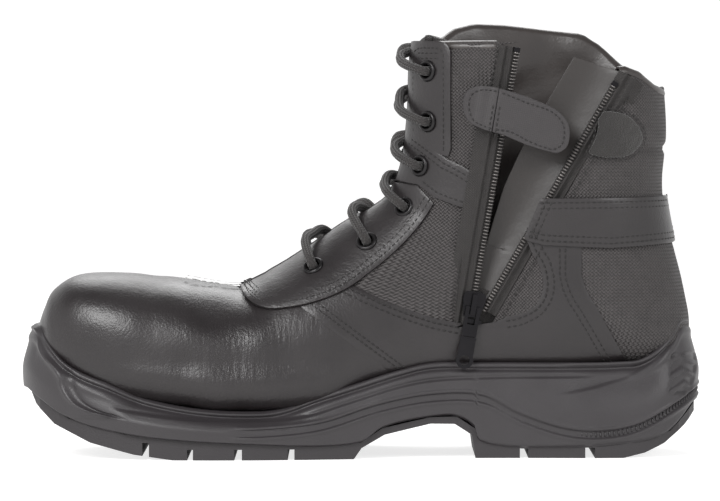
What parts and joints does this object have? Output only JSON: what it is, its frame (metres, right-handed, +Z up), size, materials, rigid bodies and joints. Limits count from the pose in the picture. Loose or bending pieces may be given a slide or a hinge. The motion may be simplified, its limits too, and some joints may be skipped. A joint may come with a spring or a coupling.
{
  "type": "side-zip safety boot",
  "caption": "Ankle-high black leather and woven nylon safety boot for the right foot, with a laced throat, an open side zip, a closure tab and a lugged cup sole.",
  "frame": {"origin": "centre of the bounding box on the ground under the sole", "axes": "+X from toe to heel, +Y from the medial (zip) side to the lateral side, +Z up"},
  "size_m": [0.31, 0.1118, 0.1988],
  "materials": {
    "outsole_rubber": "moulded, matte",
    "midsole_pu": "moulded polyurethane, satin",
    "shank_steel": "rolled",
    "plate_textile": "woven aramid",
    "insole_fibreboard": "pressed fibreboard",
    "footbed_felt": "felted",
    "toe_cap_steel": "epoxy coated steel",
    "counter_board": "thermoplastic board",
    "lining_leather": "smooth lining leather",
    "padding_foam": "open-cell foam with backing cloth",
    "nylon_weave": "coarse ballistic weave",
    "upper_leather": "full grain, lightly polished",
    "loop_pile": "loop pile of a hook-and-loop closure",
    "eyelet_metal": "black enamelled brass",
    "lace_braid": "round polyester braid",
    "gusset_leather": "thin smooth leather",
    "zip_tape": "woven polyester tape",
    "zip_teeth": "moulded teeth, dark grey",
    "zip_metal": "black enamel, worn bright on the edges",
    "tab_textile": "coated webbing"
  },
  "bodies": {
    "root": {"outsole": "outsole_rubber", "midsole_cup": "midsole_pu", "shank": "shank_steel", "puncture_plate": "plate_textile", "insole_board": "insole_fibreboard", "footbed": "footbed_felt", "toe_cap": "toe_cap_steel", "heel_counter": "counter_board", "lining": "lining_leather", "collar_padding": "padding_foam", "front_panel_medial": "nylon_weave", "rear_panel_medial": "nylon_weave", "side_panel_lateral": "nylon_weave", "heel_panel": "nylon_weave", "tongue": "nylon_weave", "vamp": "upper_leather", "quarter_medial": "upper_leather", "quarter_lateral": "upper_leather", "facing_lower_medial": "upper_leather", "facing_middle_medial": "upper_leather", "facing_upper_medial": "upper_leather", "facing_lower_lateral": "upper_leather", "facing_middle_lateral": "upper_leather", "facing_upper_lateral": "upper_leather", "ankle_strap": "upper_leather", "loop_patch": "loop_pile", "eyelet_medial_1": "eyelet_metal", "eyelet_medial_2": "eyelet_metal", "eyelet_medial_3": "eyelet_metal", "eyelet_medial_4": "eyelet_metal", "eyelet_medial_5": "eyelet_metal", "eyelet_medial_6": "eyelet_metal", "eyelet_lateral_1": "eyelet_metal", "eyelet_lateral_2": "eyelet_metal", "eyelet_lateral_3": "eyelet_metal", "eyelet_lateral_4": "eyelet_metal", "eyelet_lateral_5": "eyelet_metal", "eyelet_lateral_6": "eyelet_metal", "lace": "lace_braid", "zip_gusset": "gusset_leather", "zip_tape_front": "zip_tape", "zip_chain_front": "zip_teeth", "zip_top_stop_front": "zip_metal", "zip_bottom_stop": "zip_metal", "closure_tab_base": "tab_textile"},
    "zip_slider": {"zip_slider": "zip_metal"},
    "zip_flap": {"zip_tape_rear": "zip_tape", "zip_chain_rear": "zip_teeth", "zip_top_stop_rear": "zip_metal"},
    "zip_pull": {"zip_pull_link": "zip_metal", "zip_pull_tab": "zip_metal"},
    "closure_tab": {"closure_tab_flap": "tab_textile"}
  },
  "joints": [
    {"name": "zip_slide", "type": "slide", "parent": "root", "child": "zip_slider", "axis": [0.1684, -0.0126, 0.9856], "range_m": [0, 0.117]},
    {"name": "zip_flap_close", "type": "hinge", "parent": "root", "child": "zip_flap", "pos_m": [0.05281, -0.03884, 0.06341], "axis": [0.084, -0.9961, -0.0271], "range_deg": [0, 20.4]},
    {"name": "zip_pull_swing", "type": "hinge", "parent": "zip_slider", "child": "zip_pull", "pos_m": [0.05038, -0.0428, 0.06864], "axis": [-0.9821, -0.0873, 0.1667], "range_deg": [0, 170]},
    {"name": "closure_tab_fold", "type": "hinge", "parent": "root", "child": "closure_tab", "pos_m": [0.05877, -0.04971, 0.1495], "axis": [-0.1684, 0.0126, -0.9856], "range_deg": [0, 165]}
  ],
  "couplings": [
    {"joint": "zip_flap_close", "follows": "zip_slide", "rad_per_m": 3.043}
  ]
}
